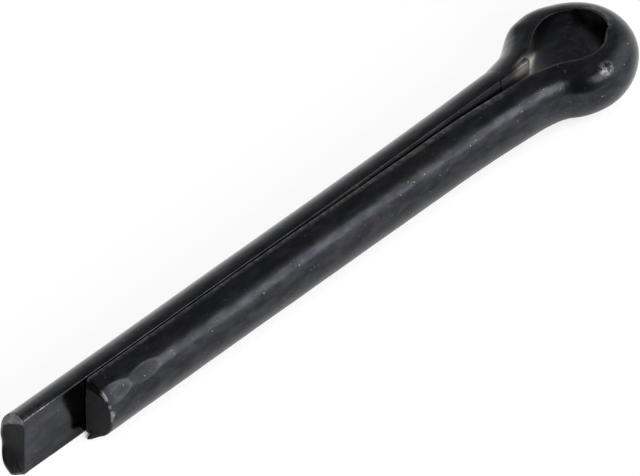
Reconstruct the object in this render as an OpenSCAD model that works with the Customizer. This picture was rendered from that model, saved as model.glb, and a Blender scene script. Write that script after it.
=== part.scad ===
// Cotter pin (split pin), extended-prong type, for a 4 mm cross hole.
//
// One length of half-round wire is folded over with its flat side inside. The fold makes a round
// eye, the two tails lie flat to flat as a split round shank, and one tail runs on past the other.
//
// Frame: the origin is the centre of the hole in the eye. +X runs along the shank to the cut ends,
// +Y points to the short leg, and +Z is the axis of the eye. The split lies in the XZ plane.

/* [Shank] */
// Diameter of the closed shank, crown to crown
shank_d = 3.6; // [2.4:0.1:6]
// Gap between the two flats along the straight legs
split_gap = 0.06; // [0.02:0.01:0.2]
// Radius on the two corners of the half-round wire
wire_corner_r = 0.22; // [0.05:0.01:0.5]
// Length of the short leg, from the centre of the eye to its cut end
short_leg = 34.6; // [24:0.1:80]
// How far the long leg runs past the short one
prong_extension = 4.2; // [1:0.1:8]

/* [Eye] */
// Diameter of the hole in the eye
eye_hole_d = 3.1; // [2.8:0.1:4.5]

/* [Neck] */
// Radius of the reverse bend between a leg and the eye, on the flat side
neck_r = 1.4; // [1.3:0.1:2.2]
// Angle by which each leg has spread where its neck begins
spread_angle = 10.5; // [8:0.5:12]
// Angle over which the eye is open between its two necks
mouth_angle = 88; // [84:1:90]

/* [Cut ends] */
// Slope of the short leg's end face
short_shear_angle = 4; // [0:1:15]
// Slope of the long leg's end face
long_shear_angle = 11; // [0:1:15]
// Height of the bevel that the shear rolls over on the upper side of each crown
bevel_h = 0.45; // [0.1:0.05:0.8]
// Slope of that bevel to the leg's length
bevel_angle = 65; // [25:1:75]

/* [Hidden] */
$fn = 96;

crown_r = shank_d / 2;
flat_y = split_gap / 2;                  // the flats lie this far from the split plane
eye_r = eye_hole_d / 2;
long_leg = short_leg + prong_extension;

// Centres of the rounded corners, which touch both the flat and the crown
corner_w = wire_corner_r;
corner_z = sqrt(pow(crown_r - wire_corner_r, 2) - pow(corner_w + flat_y, 2));
corner_turn = atan2(corner_z, corner_w + flat_y);   // where corner and crown meet

// Directions on the wire's section, from the middle of the crown towards the top
short_lean = 90;                         // the short leg's end leans back to its upper side
long_lean = 70;                          // the long leg's end also leans back a little to its crown
bevel_side = 60;

// The neck's bend touches the eye's inner wall at half the mouth's angle. The slow bend that spreads
// the leg touches the neck's bend at one end and the straight flat at the other.
eye_turn = mouth_angle / 2;
neck_turn = 90 - spread_angle - eye_turn;
neck_at = (eye_r + neck_r) * [cos(eye_turn), sin(eye_turn)];
spread_r = (neck_at.y - neck_r * cos(spread_angle) - flat_y) / (1 - cos(spread_angle));
spread_x = neck_at.x + (spread_r - neck_r) * sin(spread_angle);   // the legs are straight past here

module cotter_pin() {
    color([0.09, 0.09, 0.1]) {
        eye();
        leg(short_leg, short_shear_angle, short_lean);
        mirror([0, 1, 0]) leg(long_leg, long_shear_angle, long_lean);
    }
}

// Half-round wire, flat on the left and crown on the right, with the split plane at x = -flat_y
module wire_section() {
    difference() {
        intersection() {
            translate([-flat_y, 0]) circle(r = crown_r);
            translate([0, -crown_r]) square([crown_r, shank_d]);
        }
        corner_waste();
        mirror([0, 1]) corner_waste();
    }
    for (side = [-1, 1]) translate([corner_w, side * corner_z]) circle(r = wire_corner_r);
}

// What a rounded corner takes off the sharp half-round
module corner_waste() {
    reach = 2 * wire_corner_r;
    polygon([
        [-reach, corner_z],
        [corner_w, corner_z],
        [corner_w + reach * cos(corner_turn), corner_z + reach * sin(corner_turn)],
        [-reach, corner_z + reach]
    ]);
}

// The ring, open where the two necks leave it
module eye() {
    rotate_extrude(angle = 360 - mouth_angle, start = eye_turn) at([eye_r, 0]) wire_section();
}

module leg(length, slope, lean) {
    at([spread_x, 0]) {
        straight_leg(length - spread_x, slope, lean);
        spread_leg();
    }
    neck();
}

module straight_leg(length, slope, lean) {
    difference() {
        translate([0, flat_y, 0]) rotate([90, 0, 90]) linear_extrude(length + shank_d) wire_section();
        translate([length, flat_y, 0]) shear_waste(slope, lean);
    }
}

// What the shear takes off: everything past a leaning end face, and the edge that it rolls over
module shear_waste(slope, lean) {
    block = 3 * shank_d;
    rotate([lean, 0, 0]) rotate([0, 0, slope])
        translate([0, -block / 2, -block / 2]) cube(block);
    rotate([bevel_side, 0, 0]) translate([0, crown_r - bevel_h, 0]) rotate([0, 0, 90 - bevel_angle])
        translate([0, -block / 2, -block / 2]) cube(block);
}

module spread_leg() {
    at([0, flat_y + spread_r])
        rotate_extrude(angle = spread_angle, start = 270 - spread_angle)
            at([spread_r, 0]) mirror([1, 0]) wire_section();
}

// The crown would run over the bend's own axis here, so the section stops at that axis
module neck() {
    at(neck_at) rotate_extrude(angle = neck_turn, start = 180 + eye_turn) intersection() {
        at([neck_r, 0]) mirror([1, 0]) wire_section();
        translate([0, -crown_r]) square([neck_r, shank_d]);
    }
}

// Moves in a coarse and a fine step, so that a long value keeps all its digits where faces meet
module at(place) {
    coarse = [for (v = place) round(v * 100) / 100];
    translate(coarse) translate(place - coarse) children();
}

cotter_pin();
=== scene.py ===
"""Cotter pin on a studio table: the folded half-round wire, its black oxide finish and the stage.

The frame gives the pin's place and size. The X axis runs along the shank, Y crosses the split and
Z is the axis of the eye. Lengths are in metres, and MM turns millimetres into them.
"""

import math
from typing import NamedTuple

import bpy
import numpy as np
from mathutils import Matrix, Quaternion, Vector, noise


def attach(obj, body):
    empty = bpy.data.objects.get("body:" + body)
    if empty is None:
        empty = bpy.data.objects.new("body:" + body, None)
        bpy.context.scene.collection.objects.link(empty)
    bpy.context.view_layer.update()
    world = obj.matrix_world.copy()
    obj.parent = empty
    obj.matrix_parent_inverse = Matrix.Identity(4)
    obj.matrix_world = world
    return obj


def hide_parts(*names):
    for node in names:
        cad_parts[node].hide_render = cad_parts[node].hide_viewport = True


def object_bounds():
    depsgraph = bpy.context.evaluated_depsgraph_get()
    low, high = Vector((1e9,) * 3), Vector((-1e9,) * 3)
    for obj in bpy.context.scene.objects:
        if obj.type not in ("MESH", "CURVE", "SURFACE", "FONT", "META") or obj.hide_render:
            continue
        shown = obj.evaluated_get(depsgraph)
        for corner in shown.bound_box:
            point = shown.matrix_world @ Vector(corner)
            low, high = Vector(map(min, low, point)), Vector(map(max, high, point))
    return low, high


bl_info = {
    "name": "Cotter Pin Studio",
    "version": (1, 0, 0),
    "blender": (4, 5, 0),
    "location": "View3D > Sidebar > Cotter Pin",
    "description": "Builds a folded half-round cotter pin with its finish, floor, lights and camera",
    "category": "Object",
}

MM = 0.001
NODE = "cotter_pin"
BODY = "root"

# Points round the wire's section: each half of the flat, each corner and the crown
FLAT, BEND, CROWN = 8, 8, 80

# Radius of the edge round a cut end, and the line where each end's rolled part starts: its heading
# from the middle of the crown to the top, and its distance from the section's centre
EDGE = 0.06 * MM
LONG_ROLL = (55, 1.45 * MM)
SHORT_ROLL = (90, 1.24 * MM)

# Radius of the wire's crown
WIRE_R = 1.8 * MM

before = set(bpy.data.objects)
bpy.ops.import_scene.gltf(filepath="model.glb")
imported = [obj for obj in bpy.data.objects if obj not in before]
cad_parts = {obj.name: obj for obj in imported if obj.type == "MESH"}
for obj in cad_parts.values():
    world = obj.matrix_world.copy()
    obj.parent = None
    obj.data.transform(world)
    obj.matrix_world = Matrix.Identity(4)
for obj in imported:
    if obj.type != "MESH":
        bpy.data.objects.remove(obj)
CAD_LOW, CAD_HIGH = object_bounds()


# ---------------------------------------------------------------- settings


class WireSettings(bpy.types.PropertyGroup):
    """The half-round wire and how far its two legs reach"""

    crown: bpy.props.FloatProperty(
        name="Thickness", description="Flat to crown, along the legs", default=WIRE_R, unit="LENGTH"
    )
    half_height: bpy.props.FloatProperty(
        name="Half height", description="Half the height of the flat", default=1.785 * MM, unit="LENGTH"
    )
    short_corner: bpy.props.FloatProperty(
        name="Short leg's top corner", description="Its radius", default=0.3 * MM, unit="LENGTH"
    )
    long_corner: bpy.props.FloatProperty(
        name="Long leg's top corner", description="Its radius", default=0.11 * MM, unit="LENGTH"
    )
    bottom_corner: bpy.props.FloatProperty(
        name="Bottom corner", description="Radius of the lower corners", default=0.05 * MM, unit="LENGTH"
    )
    short_leg: bpy.props.FloatProperty(
        name="Short leg", description="Where the short leg is cut", default=34.6 * MM, unit="LENGTH"
    )
    long_leg: bpy.props.FloatProperty(
        name="Long leg", description="Where the long leg is cut", default=38.77 * MM, unit="LENGTH"
    )
    scale: bpy.props.FloatProperty(
        name="Scale", description="Size of the made pin against its nominal size", default=0.9945
    )
    contact_gap: bpy.props.FloatProperty(
        name="Gap at the tips",
        description="From the split plane to a flat",
        default=0.012 * MM,
        unit="LENGTH",
    )


class EyeSettings(bpy.types.PropertyGroup):
    """The round eye and the wire's section as it goes round"""

    hole: bpy.props.FloatProperty(
        name="Hole radius", description="Inside radius of the eye", default=1.685 * MM, unit="LENGTH"
    )
    shift_x: bpy.props.FloatProperty(
        name="Shift along", description="The hole's centre along the shank", default=0.25 * MM, unit="LENGTH"
    )
    shift_y: bpy.props.FloatProperty(
        name="Shift across",
        description="The hole's centre across the shank",
        default=-0.05 * MM,
        unit="LENGTH",
    )
    neck_crown: bpy.props.FloatProperty(
        name="Thickness at the neck", description="Flat to crown", default=1.68 * MM, unit="LENGTH"
    )
    side_crown: bpy.props.FloatProperty(
        name="Thickness at the side", description="Flat to crown", default=1.595 * MM, unit="LENGTH"
    )
    end_crown: bpy.props.FloatProperty(
        name="Thickness at the end", description="Flat to crown", default=1.86 * MM, unit="LENGTH"
    )
    half_height: bpy.props.FloatProperty(
        name="Half height", description="Half the height of the eye", default=1.75 * MM, unit="LENGTH"
    )


class FinishSettings(bpy.types.PropertyGroup):
    """Colours of the oxide, of the steel where it shows, and of the painted highlights by the neck and on
    the eye
    """

    oxide: bpy.props.FloatVectorProperty(
        name="Oxide",
        description="The black finish",
        default=(0.037, 0.038, 0.041),
        subtype="COLOR",
    )
    oxide_green: bpy.props.FloatVectorProperty(
        name="Green cast",
        description="The oxide's greener parts",
        default=(0.031, 0.037, 0.041),
        subtype="COLOR",
    )
    oxide_violet: bpy.props.FloatVectorProperty(
        name="Violet cast",
        description="The oxide's bluer parts",
        default=(0.038, 0.036, 0.046),
        subtype="COLOR",
    )
    oxide_thin: bpy.props.FloatVectorProperty(
        name="Thin oxide",
        description="Its lighter blotches",
        default=(0.068, 0.071, 0.08),
        subtype="COLOR",
    )
    oxide_thick: bpy.props.FloatVectorProperty(
        name="Thick oxide",
        description="Its darker blotches",
        default=(0.02, 0.021, 0.024),
        subtype="COLOR",
    )
    worn: bpy.props.FloatVectorProperty(
        name="Worn steel",
        description="Rubbed edges",
        default=(0.34, 0.34, 0.335),
        subtype="COLOR",
    )
    specks: bpy.props.FloatVectorProperty(
        name="Specks",
        description="Small bare specks",
        default=(0.42, 0.41, 0.4),
        subtype="COLOR",
    )
    # Painted highlight: the pale colour of the patch beside the neck, which stands in for a reflection on
    # the inner wall
    neck_highlight: bpy.props.FloatVectorProperty(
        name="Squeezed steel",
        description="The bare patch beside the neck",
        default=(0.95, 0.88, 0.8),
        subtype="COLOR",
    )
    # Part wear, part painted highlight: the rubbed spot on the eye strengthens the key light's highlight
    # there
    scuffed_highlight: bpy.props.FloatVectorProperty(
        name="Scuffed steel",
        description="The rubbed spot on the eye",
        default=(0.42, 0.40, 0.40),
        subtype="COLOR",
    )


class StageSettings(bpy.types.PropertyGroup):
    """Lights and camera"""

    key_power: bpy.props.FloatProperty(
        name="Key light", description="Power of the box that reflects", default=0.6, unit="POWER"
    )
    fill_power: bpy.props.FloatProperty(
        name="Fill light", description="Power of the soft box behind it", default=24.0, unit="POWER"
    )
    azimuth: bpy.props.FloatProperty(
        name="Azimuth", description="Turn of the view about Z", default=math.radians(134.69), unit="ROTATION"
    )
    elevation: bpy.props.FloatProperty(
        name="Elevation", description="Height of the view", default=math.radians(43.04), unit="ROTATION"
    )
    roll: bpy.props.FloatProperty(
        name="Roll", description="Turn about the line of sight", default=math.radians(-0.8), unit="ROTATION"
    )
    distance: bpy.props.FloatProperty(
        name="Distance", description="Camera to the pin", default=808.5 * MM, unit="LENGTH"
    )
    lens: bpy.props.FloatProperty(name="Lens", description="Focal length", default=930.8, unit="CAMERA")
    aim_along: bpy.props.FloatProperty(
        name="Aim", description="Where the view meets the shank", default=18.08 * MM, unit="LENGTH"
    )


# ---------------------------------------------------------------- the wire's line


class Bends(NamedTuple):
    """How one leg leaves the eye. Turns are in degrees, and the bends come in this order."""

    past: float  # the eye keeps its radius this far past its widest place
    shoulder_r: float  # the wider last part of the eye
    shoulder: float
    neck_r: float  # the reverse bend, whose turn follows from the others
    spread_r: float  # the slow bend by which the leg has spread
    spread: float
    slope: float  # the last bend, which brings the leg along the split
    gap: float  # from the split plane to the flat, where that bend ends


SHORT_BENDS = Bends(9.7, 2.51 * MM, 26.5, 3.4 * MM, 8.95 * MM, 10.4, 5.45, 0.06 * MM)
LONG_BENDS = Bends(11.1, 3.04 * MM, 26.1, 4.43 * MM, 9.07 * MM, 13.4, 4.3, 0.126 * MM)
CLOSED = 14 * MM  # over this length a straight leg closes from that gap to the gap at the tips


def bend_chain(start, heading, arcs, step=0.03 * MM):
    """Points and headings along a line of arcs, each given as (length, turn)."""
    points, headings = [np.array(start, float)], [heading]
    for length, turn in arcs:
        count = max(2, math.ceil(length / step))
        for _ in range(count):
            middle = headings[-1] + turn / count / 2
            points.append(points[-1] + length / count * np.array([math.cos(middle), math.sin(middle)]))
            headings.append(headings[-1] + turn / count)
    return np.array(points), np.array(headings)


def leg_line(wire, eye, side, tip, bends):
    """One half of the inner line, from the far end of the eye to a tip, drawn on the +Y side."""
    past, shoulder, spread, slope = (
        math.radians(turn) for turn in (bends.past, bends.shoulder, bends.spread, bends.slope)
    )
    neck = past + shoulder - spread - slope
    round_eye = math.pi / 2 + past
    arcs = [
        (eye.hole * round_eye, -round_eye),
        (bends.shoulder_r * shoulder, -shoulder),
        (bends.neck_r * neck, neck),
        (bends.spread_r * spread, spread),
    ]
    start = (eye.shift_x - eye.hole, eye.shift_y * side)
    points, _ = bend_chain(start, math.pi / 2, arcs)
    closing_r = (points[-1][1] - bends.gap) / (1 - math.cos(slope))
    arcs.append((closing_r * slope, slope))
    points, headings = bend_chain(start, math.pi / 2, arcs)
    run = np.arange(points[-1][0], tip, 0.1 * MM)[1:]
    run = np.append(run, tip)
    share = np.clip((run - points[-1][0]) / CLOSED, 0, 1)
    rise = bends.gap + (wire.contact_gap - bends.gap) * share
    points = np.vstack([points, np.stack([run, rise], -1)])
    headings = np.append(headings, np.zeros(len(run)))
    normals = np.stack([-np.sin(headings), np.cos(headings)], -1)
    mirror = np.array([1, side])
    return points * mirror, normals * mirror


def full_line(wire, eye):
    """The whole inner line from the short tip round the eye to the long tip, with its outward normals."""
    near, near_out = leg_line(wire, eye, 1, wire.short_leg, SHORT_BENDS)
    far, far_out = leg_line(wire, eye, -1, wire.long_leg, LONG_BENDS)
    points = np.vstack([near[::-1], far[1:]])
    outward = np.vstack([near_out[::-1], far_out[1:]])
    steps = np.linalg.norm(np.diff(points, axis=0), axis=1)
    along = np.concatenate([[0], np.cumsum(steps)])
    return points, outward, along, along[len(near) - 1]


def section(wire, high):
    """The half-round outline as shares of its thickness, anticlockwise from the flat's middle."""
    radius, low = wire.crown, wire.bottom_corner

    def corner(size):
        rise = math.sqrt((radius - size) ** 2 - size**2)
        return rise, math.atan2(rise, size)

    low_rise, low_turn = corner(low)
    high_rise, high_turn = corner(high)
    points = [(0, -low_rise * k / FLAT) for k in range(FLAT)]
    for k in range(BEND):
        turn = math.pi + (math.pi - low_turn) * k / BEND
        points.append((low + low * math.cos(turn), -low_rise + low * math.sin(turn)))
    for k in range(CROWN):
        turn = -low_turn + (low_turn + high_turn) * k / CROWN
        points.append((radius * math.cos(turn), radius * math.sin(turn)))
    for k in range(BEND):
        turn = high_turn + (math.pi - high_turn) * k / BEND
        points.append((high + high * math.cos(turn), high_rise + high * math.sin(turn)))
    points += [(0, high_rise * (1 - k / FLAT)) for k in range(FLAT)]
    outline = np.array(points) / radius
    run = np.roll(outline, -1, axis=0) - np.roll(outline, 1, axis=0)
    normals = np.stack([run[:, 1], -run[:, 0]], -1)
    return outline, normals / np.linalg.norm(normals, axis=1)[:, None]


def smooth(value, low, high):
    """0 below low, 1 above high, with a soft step between."""
    share = np.clip((value - low) / (high - low), 0, 1)
    return share * share * (3 - 2 * share)


def noise_field(points, size, seed):
    """Smooth noise from -1 to 1 at each point, with features of about the given size."""
    shift = Vector((seed * 7.3, seed * 3.1, seed * 5.7))
    return np.array([noise.noise(Vector(p) / size + shift) for p in points])


# ---------------------------------------------------------------- the mesh


def stations(along, eye_at):
    """Places along the line where sections stand, closer together round the eye."""
    fine, coarse, reach = 0.075 * MM, 0.125 * MM, 8.5 * MM
    before = np.linspace(0, eye_at - reach, math.ceil((eye_at - reach) / coarse) + 1)
    around = np.linspace(eye_at - reach, eye_at + reach, math.ceil(2 * reach / fine) + 1)
    left = along[-1] - eye_at - reach
    after = np.linspace(eye_at + reach, along[-1], math.ceil(left / coarse) + 1)
    return np.concatenate([before, around[1:], after[1:]])


def wire_sizes(wire, eye, places):
    """Thickness and half height of the wire at each station."""
    turn = np.degrees(np.arctan2(np.abs(places[:, 1] - eye.shift_y), places[:, 0] - eye.shift_x))
    near = places[:, 1] > 0
    round_side = np.clip((turn - 25) / 65, 0, 1)
    round_end = smooth(turn, 90, 180)
    crown = eye.neck_crown + (eye.side_crown - eye.neck_crown) * round_side
    crown += (eye.end_crown - eye.side_crown) * round_end
    full_side = smooth(turn, np.where(near, 30, 40), np.where(near, 55, 66))
    full_side *= 1 - smooth(turn, np.where(near, 85, 60), np.where(near, 130, 92))
    crown += np.where(near, 0.07, 0.105) * MM * full_side
    on_leg = smooth(places[:, 0], 1.5 * MM, np.where(near, 6.5, 4.2) * MM)
    far_leg = np.where(near, 0, 0.045) * MM * smooth(places[:, 0], 10 * MM, 26 * MM)
    far_leg += np.where(near, 0, 0.07) * MM * (1 - smooth(places[:, 0], 5 * MM, 8.5 * MM))
    crown += (wire.crown + far_leg - crown) * on_leg
    height = eye.half_height + (wire.half_height - eye.half_height) * smooth(places[:, 0], 0.4 * MM, 5 * MM)
    return crown, height


def rolled(w, z, heading, line, radius, depth):
    """How far a face drops past a line across it, where the shear's entry rolled it over."""
    share = np.clip(past_line(w, z, heading, line) / (radius - line), 0, 0.98)
    return depth * (1 - np.sqrt(1 - share * share))


def past_line(w, z, heading, line):
    """How far a point of the section lies past a line across it."""
    heading = math.radians(heading)
    return w * math.cos(heading) + z * math.sin(heading) - line


def long_face(w, z):
    """The long leg's sheared end: it leans back at the crown and tears out in a lip below."""
    lip = 0.53 * MM * smooth(-z, 0.61 * MM, 1.6 * MM) * smooth(w, -0.04 * MM, 0.47 * MM)
    swell = smooth(z, -1.5 * MM, -0.6 * MM) * (1 - smooth(z, -0.4 * MM, 0.15 * MM))
    swell = swell * smooth(w, 0.9 * MM, 1.5 * MM)
    face = lip + 0.07 * MM * swell - 0.12 * w - 0.025 * z
    return face - rolled(w, z, *LONG_ROLL, WIRE_R, 0.1 * MM)


def short_face(w, z):
    """The short leg's end: nearly square, with a rolled upper edge, a tear line and a burr below."""
    burr = smooth(-z, 1.3 * MM, 1.75 * MM) * smooth(w, 0.34 * MM, 0.5 * MM)
    burr = burr * (1 - smooth(w, 0.55 * MM, 1.1 * MM))
    tear = smooth(z + 0.12 * w, 0.42 * MM, 0.58 * MM)
    face = 0.42 * MM * burr - 0.05 * MM * tear - 0.03 * w
    return face - rolled(w, z, *SHORT_ROLL, WIRE_R, 0.2 * MM)


def corner_sizes(wire, places, stops, eye_at):
    """Radius of the wire's upper corner at each station."""
    x = places[:, 0]
    size = wire.short_corner - 0.16 * MM * smooth(x, 9 * MM, 26 * MM)
    size += 0.08 * MM * smooth(x, 1 * MM, 2.5 * MM) * (1 - smooth(x, 5 * MM, 10 * MM))
    return size + (wire.long_corner - size) * smooth(stops, eye_at - 3 * MM, eye_at + 3 * MM)


def lay_sections(places, out, outline, facing, crown, height):
    """The wire's section at each station, with the normal at each of its points."""
    rings = np.zeros((*outline.shape[:2], 3))
    rings[:, :, :2] = places[:, None, :] + out[:, None, :] * (outline[..., 0] * crown[:, None])[..., None]
    rings[:, :, 2] = outline[..., 1] * height[:, None]
    normals = np.zeros_like(rings)
    normals[:, :, :2] = out[:, None, :] * facing[..., 0, None]
    normals[:, :, 2] = facing[..., 1]
    return rings, normals


def cut_ends(wire, rings, places, outline, facing, crown, height):
    """Moves the last sections of each leg to the slant of its cut, and gives the rings that close it."""
    ends = []
    middle = len(rings) // 2
    reach = 3 * MM
    for last, half, tip, face, roll, side in (
        (0, slice(None, middle), wire.short_leg, short_face, SHORT_ROLL, 1),
        (-1, slice(middle, None), wire.long_leg, long_face, LONG_ROLL, -1),
    ):
        w, z = outline[last, :, 0] * crown[last], outline[last, :, 1] * height[last]
        start = tip - reach
        target = tip + face(w, z) - EDGE
        run = rings[half, :, 0]
        stretched = start + (run - start) / reach * (target - start)
        rings[half, :, 0] = np.where(run > start, stretched, run)
        ends.append(end_cap(rings[last], w, z, facing[last], face, roll, tip, places[last][1], side))
    return ends


def build_pin(wire, eye):
    """The pin's skin: sections along the folded line, its cut ends, and the marks of its making."""
    points, outward, along, eye_at = full_line(wire, eye)
    stops = stations(along, eye_at)
    places, out = (
        np.stack([np.interp(stops, along, values[:, k]) for k in range(2)], -1)
        for values in (points, outward)
    )
    out /= np.linalg.norm(out, axis=1)[:, None]
    crown, height = wire_sizes(wire, eye, places)
    sizes = corner_sizes(wire, places, stops, eye_at)
    outline, facing = (np.array(parts) for parts in zip(*(section(wire, size) for size in sizes)))
    rings, normals = lay_sections(places, out, outline, facing, crown, height)
    ends = cut_ends(wire, rings, places, outline, facing, crown, height)

    pressed_in = press_marks(rings, wire)
    pressed = smooth(pressed_in, 0, 0.02 * MM)
    wear = edge_wear(wire, rings, outline, stops, eye_at, pressed)
    rings += normals * squashed_shoulder(eye, places, outline)[..., None]
    flared, flared_edge = flared_end(eye, places, outline, crown)
    rings[:, :, :2] += out[:, None, :] * flared[..., None]
    near_half = (stops < eye_at + 0.6 * MM)[:, None]
    wear = np.where(flared > 0, 0, wear) + 0.45 * flared_edge * near_half * (outline[..., 1] > 0)
    return join_rings(dent_wire(rings, normals, pressed_in), ends, wear, pressed, wire.scale)


def squashed_shoulder(eye, places, outline):
    """How far the fold has squashed the upper crown outwards on the long leg's side of the eye."""
    turn = np.degrees(np.arctan2(eye.shift_y - places[:, 1], places[:, 0] - eye.shift_x))
    swell = 0.095 * smooth(turn, 42, 66) * (1 - smooth(turn, 84, 112))
    hollow = 0.045 * smooth(turn, 100, 120) * (1 - smooth(turn, 128, 165))
    rise = np.arctan2(outline[..., 1], outline[..., 0])
    upper = np.sin(2 * rise) ** 2 * (rise > 0) * (rise < math.pi / 2)
    return (swell - hollow)[:, None] * MM * upper


def flared_end(eye, places, outline, crown):
    """How far the tight fold has pushed the inner edges outwards at the far end of the eye.

    Also gives how close each point lies to the edge that this makes.
    """
    turn = np.degrees(np.arctan2(np.abs(places[:, 1] - eye.shift_y), eye.shift_x - places[:, 0]))
    flare = 0.7 * MM * (1 - smooth(turn, 5, 50))
    share = np.abs(outline[..., 1])
    bulge = flare[:, None] * share**3
    circle = crown[:, None] * np.sqrt(np.clip(1 - share**2, 0, 1))
    width = outline[..., 0] * crown[:, None]
    moved = (np.maximum(np.minimum(bulge, circle), width) - width) * (outline[..., 1] > 0)
    edge = np.clip(1.3 - np.abs(bulge - circle) / (0.3 * MM), 0, 1) * smooth(bulge, 0.05 * MM, 0.2 * MM)
    return moved, edge


def edge_wear(wire, rings, outline, stops, eye_at, pressed):
    """How much of the oxide is rubbed off at each point of the wire: upper corners and cut edges."""
    count = outline.shape[1]
    start = FLAT + BEND + CROWN
    around = np.arange(count)
    corner = np.clip(1.9 - 2.6 * np.abs(around - start - 0.35 * BEND) / BEND, 0, 1)
    lip = np.clip(1.7 - 3.4 * np.abs(around - start - 0.75 * BEND) / BEND, 0, 1)
    short_side = 1 - smooth(stops, eye_at - 1 * MM, eye_at + 2 * MM)
    x = rings[:, 0, 0]
    by_eye = short_side * (1 - smooth(x, 3 * MM, 7 * MM)) * smooth(stops, eye_at - 9 * MM, eye_at - 6 * MM)
    on_short = short_side * 0.58 * smooth(x, 3 * MM, 7 * MM)
    on_long = (1 - short_side) * 0.7 * smooth(x, 35.5 * MM, 38 * MM)
    wear = corner[None, :] * (on_short + on_long)[:, None]
    wear = np.maximum(wear, lip[None, :] * by_eye[:, None])
    turn = np.degrees(np.arctan2(outline[0, :, 1], outline[0, :, 0]))
    jagged = smooth(turn, -8, 8) * (1 - smooth(turn, 50, 62))
    ragged = 0.16 * MM * np.clip(1 + 1.6 * noise_field(rings[0], 0.3 * MM, 5), 0.35, 2)
    near_cut = 1 - smooth((wire.short_leg - x)[:, None] / ragged[None, :], 0.4, 1.2)
    wear = np.maximum(wear, short_side[:, None] * near_cut * jagged[None, :])
    rolled_top = smooth(turn, 20, 50) * (outline[-1, :, 0] > 0.01)
    near_cut = (1 - short_side) * (1 - smooth(wire.long_leg - x, 0.1 * MM, 0.4 * MM))
    wear = np.maximum(wear, 0.15 * near_cut[:, None] * rolled_top[None, :])
    return np.maximum(wear, pressed * (0.02 + 0.08 * smooth(x, 32.4 * MM, 33.2 * MM))[:, None])


def end_cap(ring, w, z, facing, face, roll, tip, flat_at, side):
    """Rings that roll over the cut edge and close the end face, with the depth of each inside it."""
    rings, depths = [], []
    rolls, closings = 5, 30
    blend = 0.1 * MM
    radius = w.max()
    rim = 0.0 if side < 0 else 0.1 * MM

    def add(x, ww, zz):
        rings.append(np.stack([x, flat_at + side * ww, zz], -1))
        edges = (
            radius - np.hypot(ww, zz * radius / z.max()) + rim,
            0.2 * MM + ww,
            rim - past_line(ww, zz, *roll),
        )
        depths.append(-blend * np.log(sum(np.exp(-np.maximum(each, -MM) / blend) for each in edges)))

    for k in range(1, rolls + 1):
        turn = math.pi / 2 * k / rolls
        inset = EDGE * (1 - math.cos(turn))
        ww, zz = w - facing[:, 0] * inset, z - facing[:, 1] * inset
        x = ring[:, 0] + EDGE * math.sin(turn)
        add(x, ww, zz)
    edge_x, edge_w, edge_z = x, ww, zz
    mid_w, mid_z = 0.42 * radius, 0.0
    for k in range(1, closings):
        share = k / closings
        ww = edge_w + (mid_w - edge_w) * share
        zz = edge_z + (mid_z - edge_z) * share
        x = tip + face(ww, zz)
        x = edge_x + (x - edge_x) * min(1, share * 12)
        torn = np.stack([np.full_like(ww, side * 9 * MM), ww, zz], -1)
        x = x + noise_field(torn, 0.3 * MM, 3) * 0.01 * MM * min(1, share * 8)
        add(x, ww, zz)
    add(tip + face(np.array([mid_w]), np.array([mid_z])), np.array([mid_w]), np.array([mid_z]))
    return rings, depths


def press_mark(rings, wire, along, turn, half_length, half_turn):
    """How deep a flat jaw has pressed into the short leg's crown at each point."""
    around = np.arctan2(rings[..., 2], rings[..., 1]) - math.radians(turn)
    share = np.clip(1 - ((rings[..., 0] - along) / half_length) ** 2, 0, 1)
    reach = np.maximum(math.radians(half_turn) * np.sqrt(share), 1e-6)
    chord = 1 - np.cos(reach) / np.cos(np.clip(around, -reach, reach))
    on_short = (rings[..., 1] > 0.1 * MM) & (np.abs(around) < reach)
    return np.where(on_short, wire.crown * chord, 0)


def press_marks(rings, wire):
    """Both marks that the cutting jaw left near the short leg's end."""
    first = press_mark(rings, wire, 31.75 * MM, 42.5, 1.05 * MM, 13)
    return first + press_mark(rings, wire, 33.95 * MM, 41.5, 1.15 * MM, 16)


def dent_wire(rings, normals, pressed_in):
    """Waves, jaw marks and small dents that drawing, folding and cutting left in the wire."""
    flat = rings.reshape(-1, 3)
    stretch = flat * np.array([0.45, 1, 1])
    waves = noise_field(stretch, 1.3 * MM, 1) * 0.012 * MM
    ripples = noise_field(stretch, 0.42 * MM, 2) * 0.0035 * MM
    depth = (waves + ripples - 0.008 * MM).reshape(rings.shape[:2])
    depth -= pressed_in
    fade = np.minimum(np.arange(len(rings)), np.arange(len(rings))[::-1]) / 4
    depth *= np.clip(fade, 0, 1)[:, None]
    return rings + normals * depth[..., None]


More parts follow.
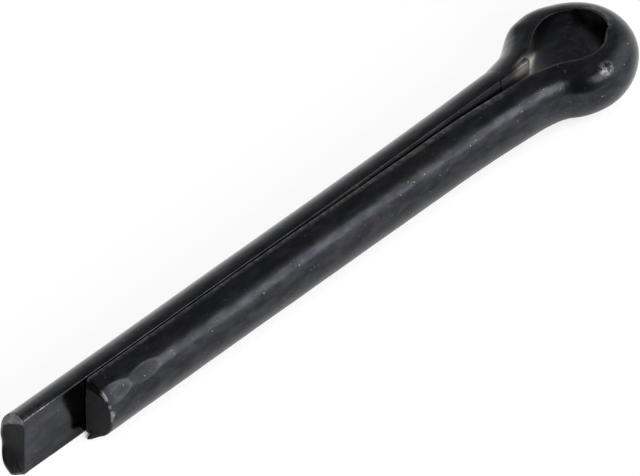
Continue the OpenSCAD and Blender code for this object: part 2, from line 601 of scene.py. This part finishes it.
def join_rings(rings, ends, wear, pressed, scale):
    """The closed skin, with each point's wear, place on the flat side and depth inside a cut face."""
    total, count = rings.shape[:2]
    around = np.arange(count)
    after = (around + 1) % count
    past_flat = np.minimum(around, count - around) - FLAT
    flat_side = np.clip(1 - (past_flat - BEND) / 2, 0, 1)
    slot = np.clip(1 - past_flat / 3, 0, 1)
    vertices, quads, triangles = [rings.reshape(-1, 3)], [], []
    marks = {
        "cut_depth": [np.full(total * count, -1.0)],
        "wear": [wear.reshape(-1)],
        "flat_side": [np.tile(flat_side, total)],
        "slot": [np.tile(slot, total)],
        "pressed": [pressed.reshape(-1)],
    }

    def bridge(first, second):
        quads.append(np.stack([first + around, first + after, second + after, second + around], -1))

    for k in range(total - 1):
        bridge(k * count, (k + 1) * count)
    start = total * count
    for (cap, depths), last in zip(ends, (0, total - 1)):
        previous = last * count
        for k, (ring, depth) in enumerate(zip(cap, depths)):
            vertices.append(ring)
            fade = np.clip(1.2 - depth / (0.3 * MM), 0, 1)
            edge = wear[last] if len(ring) == count else 0
            marks["wear"].append(np.maximum(fade * (0.35 if last else 0.1), edge * (k < 7)))
            marks["cut_depth"].append(depth / MM)
            marks["flat_side"].append(np.zeros(len(ring)))
            marks["slot"].append(np.zeros(len(ring)))
            marks["pressed"].append(np.zeros(len(ring)))
            if len(ring) == count:
                bridge(*((previous, start) if last else (start, previous)))
                previous = start
            else:
                fan = np.stack([previous + around, previous + after, np.full(count, start)], -1)
                triangles.append(fan if last else fan[:, ::-1])
            start += len(ring)
    marks = {name: np.concatenate(values) for name, values in marks.items()}
    return np.vstack(vertices) * scale, np.vstack(quads), np.vstack(triangles), marks


def mesh_object(name, vertices, quads, triangles, marks):
    """A smooth-shaded object from arrays, with each mark as a value on its points."""
    mesh = bpy.data.meshes.new(name)
    mesh.from_pydata(vertices.tolist(), [], quads.tolist() + triangles.tolist())
    mesh.polygons.foreach_set("use_smooth", [True] * len(mesh.polygons))
    for mark, values in marks.items():
        mesh.attributes.new(mark, "FLOAT", "POINT").data.foreach_set("value", values.astype(float))
    mesh.update()
    piece = bpy.data.objects.new(name, mesh)
    bpy.context.scene.collection.objects.link(piece)
    return piece


# ---------------------------------------------------------------- shader maths


class Sock:
    """A node's output that can be used in sums, and that makes other nodes of its tree."""

    def __init__(self, tree, socket):
        self.tree = tree
        self.socket = socket

    def make(self, kind, settings=None, inputs=None, output=0):
        """A new node of the given kind. Its settings are set before the values or links of its sockets."""
        node = self.tree.nodes.new(kind)
        for key, value in (settings or {}).items():
            setattr(node, key, value)
        for key, value in (inputs or {}).items():
            if isinstance(value, Sock):
                self.tree.links.new(value.socket, node.inputs[key])
            else:
                node.inputs[key].default_value = value
        return Sock(self.tree, node.outputs[output])

    def also(self, output):
        """Another output of the same node."""
        return Sock(self.tree, self.socket.node.outputs[output])

    def finish(self, kind, shader):
        """The output node, which has no sockets to go on from."""
        self.tree.links.new(shader.socket, self.tree.nodes.new(kind).inputs["Surface"])

    def math(self, operation, *values):
        return self.make("ShaderNodeMath", {"operation": operation}, dict(enumerate(values)))

    def vector(self, operation, *values):
        made = self.make("ShaderNodeVectorMath", {"operation": operation}, dict(enumerate(values)))
        return made.also("Value") if operation in ("LENGTH", "DOT_PRODUCT") else made

    def parts(self):
        """The three numbers of a vector."""
        split = self.make("ShaderNodeSeparateXYZ", {}, {0: self})
        return split, split.also(1), split.also(2)

    def mix(self, share, first, second):
        """The first colour where share is 0, the second where it is 1."""
        settings = {"data_type": "RGBA"}
        return self.make("ShaderNodeMix", settings, {0: share, 6: first, 7: second}, 2)

    def __add__(self, other):
        return self.math("ADD", self, other)

    __radd__ = __add__

    def __sub__(self, other):
        return self.math("SUBTRACT", self, other)

    def __rsub__(self, other):
        return self.math("SUBTRACT", other, self)

    def __mul__(self, other):
        return self.math("MULTIPLY", self, other)

    __rmul__ = __mul__

    def step(self, low, high):
        """0 below low, 1 above high, with a soft step between."""
        inputs = {0: self, 1: low, 2: high, 3: 0.0, 4: 1.0}
        return self.make("ShaderNodeMapRange", {"interpolation_type": "SMOOTHSTEP"}, inputs)

    def noise(self, scale, detail=2.0, roughness=0.5):
        inputs = {"Vector": self, "Scale": scale, "Detail": detail, "Roughness": roughness}
        return self.make("ShaderNodeTexNoise", {}, inputs)


def new_tree(owner):
    """Empties the owner's nodes, and gives a socket-less Sock that makes new ones there."""
    owner.use_nodes = True
    owner.node_tree.nodes.clear()
    return Sock(owner.node_tree, None)


# ---------------------------------------------------------------- the finish

# Directions up and across the sloping painted highlight on the inner wall beside the neck
UP_NECK_HIGHLIGHT = (0.76, 0, 0.65)
ACROSS_NECK_HIGHLIGHT = (0.65, 0, -0.76)


def opaque(colour):
    """A colour setting with the alpha that a colour socket takes."""
    return (*colour, 1)


def blotched_oxide(root, finish, drawn):
    """The oxide's own colour, with casts and blotches drawn out along the wire."""
    tint = drawn.noise(0.8, 2)
    hue = drawn.vector("ADD", drawn, (7, 3, 5)).noise(1.3, 2)
    cast = root.mix(hue.step(0.4, 0.62), opaque(finish.oxide_green), opaque(finish.oxide_violet))
    base = root.mix(tint.step(0.38, 0.64), cast, opaque(finish.oxide))
    patchy = drawn.vector("ADD", drawn, (2, 9, 4)).noise(2.4, 3, 0.62)
    base = root.mix(0.55 * patchy.step(0.42, 0.68), base, opaque(finish.oxide_thin))
    return root.mix(0.5 * (1 - patchy.step(0.3, 0.47)), base, opaque(finish.oxide_thick))


def painted_neck_highlight(mm, across, on_flat):
    """Painted highlight on the inner wall beside the neck: a pale, partly diffuse patch that stands in for a
    warm reflection there.
    """
    off = mm.vector("SUBTRACT", mm, (2.0, 0, 0.1))
    up_slope, off_slope = (off.vector("DOT_PRODUCT", off, way) for way in (UP_NECK_HIGHLIGHT, ACROSS_NECK_HIGHLIGHT))
    patch = (1 - off_slope.math("ABSOLUTE", off_slope).step(0.25, 0.75)) * up_slope.step(-1.2, 0.0)
    # Fainter up the slope and fuller low down, to offset how the light falls there: painted shading of the
    # highlight
    patch = patch * (1 - 0.74 * up_slope.step(0.6, 1.5)) * (1 - up_slope.step(2.1, 2.9))
    patch = patch * (0.75 + 0.25 * mm.noise(2.2, 3, 0.6).step(0.32, 0.62))
    return patch * (1 - across.step(-0.15, 0.1)) * on_flat


def scuff_and_highlight(mm):
    """A rubbed spot on the short leg's side of the eye, set where the key light's highlight falls and made
    light to strengthen it: part wear, part painted highlight.
    """
    off = mm.vector("SUBTRACT", mm, (0.55, 2.62, 1.3))
    off = off.vector("DIVIDE", off, (0.55, 0.45, 0.45))
    away = off.vector("LENGTH", off)
    return (1 - away.step(0.4, 1.0)) * mm.noise(3.6, 3, 0.65).step(0.38, 0.62)


def torn_steel(root, mm, across):
    """The dull, torn face of a cut end. The short leg's is a little lighter."""
    dark, light = (0.006, 0.006, 0.007, 1), (0.01, 0.01, 0.0115, 1)
    base = root.mix(mm.noise(5, 3, 0.65).step(0.4, 0.7), dark, light)
    base = root.mix(across.step(-0.1, 0.1), base, (0.0125, 0.0125, 0.014, 1))
    tears = mm.noise(6, 4, 0.65)
    bump = root.make("ShaderNodeBump", {}, {"Strength": 0.5, "Distance": 0.008 * MM, "Height": tears})
    inputs = {"Base Color": base, "Roughness": 0.7, "Specular IOR Level": 0.2, "Normal": bump}
    return root.make("ShaderNodeBsdfPrincipled", {}, inputs)


def black_oxide(finish):
    """Oil-blacked steel: a thin glassy oxide over a faintly uneven drawn surface."""
    material = bpy.data.materials.new("black_oxide_steel")
    root = new_tree(material)
    place = root.make("ShaderNodeTexCoord", {}, {}, "Object")
    mm = root.make("ShaderNodeVectorMath", {"operation": "SCALE"}, {0: place, "Scale": 1 / MM})
    drawn = mm.vector("MULTIPLY", mm, (0.35, 1, 1))
    along, across, _ = mm.parts()
    depth, wear, flat_side, slot, pressed = (
        root.make("ShaderNodeAttribute", {"attribute_name": name}, {}, "Fac")
        for name in ("cut_depth", "wear", "flat_side", "slot", "pressed")
    )

    base = blotched_oxide(root, finish, drawn)
    speck = mm.noise(7.5, 1).step(0.745, 0.77)
    chips = mm.noise(3.4, 3, 0.7)
    rubbed = wear * (0.5 + 0.5 * chips.step(0.42, 0.62))
    neck_highlight = painted_neck_highlight(mm, across, root.math("MAXIMUM", flat_side, wear))
    base = root.mix(rubbed.step(0.0, 1.0), base, opaque(finish.worn))
    base = root.mix(0.45 * speck, base, opaque(finish.specks))
    # The painted highlight beside the neck
    base = root.mix(neck_highlight, base, opaque(finish.neck_highlight))
    # Rubbed spot on the eye, which is also a painted highlight
    base = root.mix(0.6 * scuff_and_highlight(mm), base, opaque(finish.scuffed_highlight))

    # Dust in the slot dulls the metal there
    dusty = slot * along.step(1.0, 2.5) * (1 - along.step(16.0, 26.0))
    inner = flat_side * (0.16 - 0.22 * along.step(3.0, 8.0))
    rough = 0.1 + 0.22 * mm.noise(9, 3, 0.6) + inner + 0.25 * neck_highlight + 0.15 * rubbed + 0.16 * pressed
    height = mm.noise(3.6, 4, 0.62) + 0.35 * mm.noise(14, 2)
    bump = root.make("ShaderNodeBump", {}, {"Strength": 0.6, "Distance": 0.005 * MM, "Height": height})
    inputs = {
        "Base Color": base,
        "Metallic": 1 - root.math("MAXIMUM", 0.75 * neck_highlight, 0.4 * dusty),
        "Roughness": rough,
        "Normal": bump,
    }
    oxide = root.make("ShaderNodeBsdfPrincipled", {}, inputs)
    inside = (depth + 0.12 * mm.noise(4, 3, 0.6)).step(0.19, 0.27)
    both = root.make("ShaderNodeMixShader", {}, {0: inside, 1: oxide, 2: torn_steel(root, mm, across)})
    root.finish("ShaderNodeOutputMaterial", both)
    return material


# ---------------------------------------------------------------- operators


class COTTER_OT_pin(bpy.types.Operator):
    """Build the folded wire and give it the black finish"""

    bl_idname = "cotter.pin"
    bl_label = "Build the pin"

    def execute(self, context):
        scene = context.scene
        piece = mesh_object("folded_wire", *build_pin(scene.cotter_wire, scene.cotter_eye))
        piece.data.materials.append(black_oxide(scene.cotter_finish))
        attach(piece, BODY)
        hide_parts(NODE)
        return {"FINISHED"}


class COTTER_OT_stage(bpy.types.Operator):
    """Lay the floor and place the lights and the camera"""

    bl_idname = "cotter.stage"
    bl_label = "Set the stage"

    def execute(self, context):
        stage = context.scene.cotter_stage
        make_floor()
        make_world(context.scene)
        make_lights(stage)
        make_camera(context.scene, stage)
        return {"FINISHED"}


def make_floor():
    """A plain white table under the pin, large enough to fill the view from most sides."""
    half = 0.8
    corners = [(-half, -half, 0), (half, -half, 0), (half, half, 0), (-half, half, 0)]
    mesh = bpy.data.meshes.new("floor")
    mesh.from_pydata(corners, [], [(0, 1, 2, 3)])
    floor = bpy.data.objects.new("floor", mesh)
    bpy.context.scene.collection.objects.link(floor)
    floor.location = (0, 0, CAD_LOW.z)
    material = bpy.data.materials.new("white_table")
    root = new_tree(material)

    # The share of open sky darkens the table beside the pin. That keeps the pin's shadow, both in
    # what is seen directly and in what the metal reflects, on a table that is white everywhere else
    open_sky = root.make("ShaderNodeAmbientOcclusion", {"samples": 8}, {"Distance": 8 * MM}, "AO")
    to_camera = root.make("ShaderNodeLightPath", {}, {}, "Is Camera Ray")
    mirrored = 0.25 + 0.75 * open_sky.step(0.1, 0.75)
    diffuse = root.make("ShaderNodeBsdfDiffuse", {}, {"Color": (0.9, 0.9, 0.9, 1)})
    white = root.make("ShaderNodeEmission", {}, {"Strength": 1.0})
    seen = to_camera * (0.93 * open_sky.step(0.22, 0.4))
    shaded = root.make("ShaderNodeMixShader", {}, {0: seen, 1: diffuse, 2: white})
    bright = root.make("ShaderNodeEmission", {}, {"Color": mirrored, "Strength": 1.0})
    rays = (to_camera.also(name) for name in ("Is Glossy Ray", "Is Transmission Ray"))
    reflected = root.math("MAXIMUM", *rays)
    shown = root.make("ShaderNodeMixShader", {}, {0: reflected, 1: shaded, 2: bright})
    root.finish("ShaderNodeOutputMaterial", shown)
    mesh.materials.append(material)


def make_world(scene):
    """A white backdrop at the horizon, a dim ceiling, and a low bright wall at the eye's end."""
    world = bpy.data.worlds.new("studio")
    root = new_tree(world)
    along, across, height = root.make("ShaderNodeTexCoord", {}, {}, "Generated").parts()
    side = across.step(-0.3, 0.3)
    low = (1 - height.step(0.2 + 0.28 * side, 0.54 + 0.24 * side)) * (1 - along.step(-0.54, 0.0))
    wall = 0.62 + 0.6 * side
    ceiling = 0.27 - 0.14 * along.step(-0.2, 0.6)
    backdrop = 1 - height.step(0.0, 0.1)
    level = root.math("MAXIMUM", backdrop, ceiling + (wall - ceiling) * low)
    back = root.make("ShaderNodeBackground", {}, {"Color": level, "Strength": 1.0})
    root.finish("ShaderNodeOutputWorld", back)
    scene.world = world


def area_light(name, toward, distance, size, energy):
    """A soft box that faces the pin from the given direction."""
    lamp = bpy.data.lights.new(name, "AREA")
    lamp.shape = "RECTANGLE"
    lamp.size, lamp.size_y = size
    lamp.energy = energy
    light = bpy.data.objects.new(name, lamp)
    bpy.context.scene.collection.objects.link(light)
    way = Vector(toward).normalized()
    centre = Vector((0.012, 0, 0))
    light.location = centre + way * distance
    light.rotation_mode = "QUATERNION"
    light.rotation_quaternion = (-way).to_track_quat("-Z", "Y")
    return light


def make_lights(stage):
    """A small box that the metal reflects, and a large soft one that only lights."""
    area_light("key_box", (-0.29, 0.81, 0.49), 0.6, (0.31, 0.25), stage.key_power)
    fill = area_light("fill_box", (0.3, 0.8, 0.5), 1.2, (0.5, 0.5), stage.fill_power)
    fill.visible_glossy = False


def make_camera(scene, stage):
    """The camera, turned about the pin by the stage's angles."""
    data = bpy.data.cameras.new("camera")
    data.lens = stage.lens
    data.clip_start, data.clip_end = 0.05, 10
    camera = bpy.data.objects.new("camera", data)
    scene.collection.objects.link(camera)
    flat = math.cos(stage.elevation)
    back = Vector(
        (
            math.sin(stage.azimuth) * flat,
            -math.cos(stage.azimuth) * flat,
            math.sin(stage.elevation),
        )
    )
    camera.location = Vector((stage.aim_along, 0, 0)) + back * stage.distance
    camera.rotation_mode = "QUATERNION"
    upright = (-back).to_track_quat("-Z", "Y")
    camera.rotation_quaternion = Quaternion(back, stage.roll) @ upright
    scene.camera = camera
    scene.view_settings.view_transform = "Standard"


class COTTER_PT_panel(bpy.types.Panel):
    """Sizes and buttons for the cotter pin"""

    bl_idname = "COTTER_PT_panel"
    bl_label = "Cotter Pin"
    bl_space_type = "VIEW_3D"
    bl_region_type = "UI"
    bl_category = "Cotter Pin"

    def draw(self, context):
        for settings in GROUPS:
            group = getattr(context.scene, settings)
            box = self.layout.box()
            for name in group.bl_rna.properties.keys():
                if name not in ("rna_type", "name"):
                    box.prop(group, name)
        for operator in OPERATORS:
            self.layout.operator(operator.bl_idname)


GROUPS = {
    "cotter_wire": WireSettings,
    "cotter_eye": EyeSettings,
    "cotter_finish": FinishSettings,
    "cotter_stage": StageSettings,
}
OPERATORS = (COTTER_OT_pin, COTTER_OT_stage)
CLASSES = (*GROUPS.values(), *OPERATORS, COTTER_PT_panel)


def register():
    for item in CLASSES:
        bpy.utils.register_class(item)
    for name, group in GROUPS.items():
        setattr(bpy.types.Scene, name, bpy.props.PointerProperty(type=group))


def unregister():
    for name in GROUPS:
        delattr(bpy.types.Scene, name)
    for item in reversed(CLASSES):
        bpy.utils.unregister_class(item)


def main():
    """Builds the pin and the stage."""
    register()
    bpy.ops.cotter.pin()
    bpy.ops.cotter.stage()


if __name__ == "__main__":
    main()
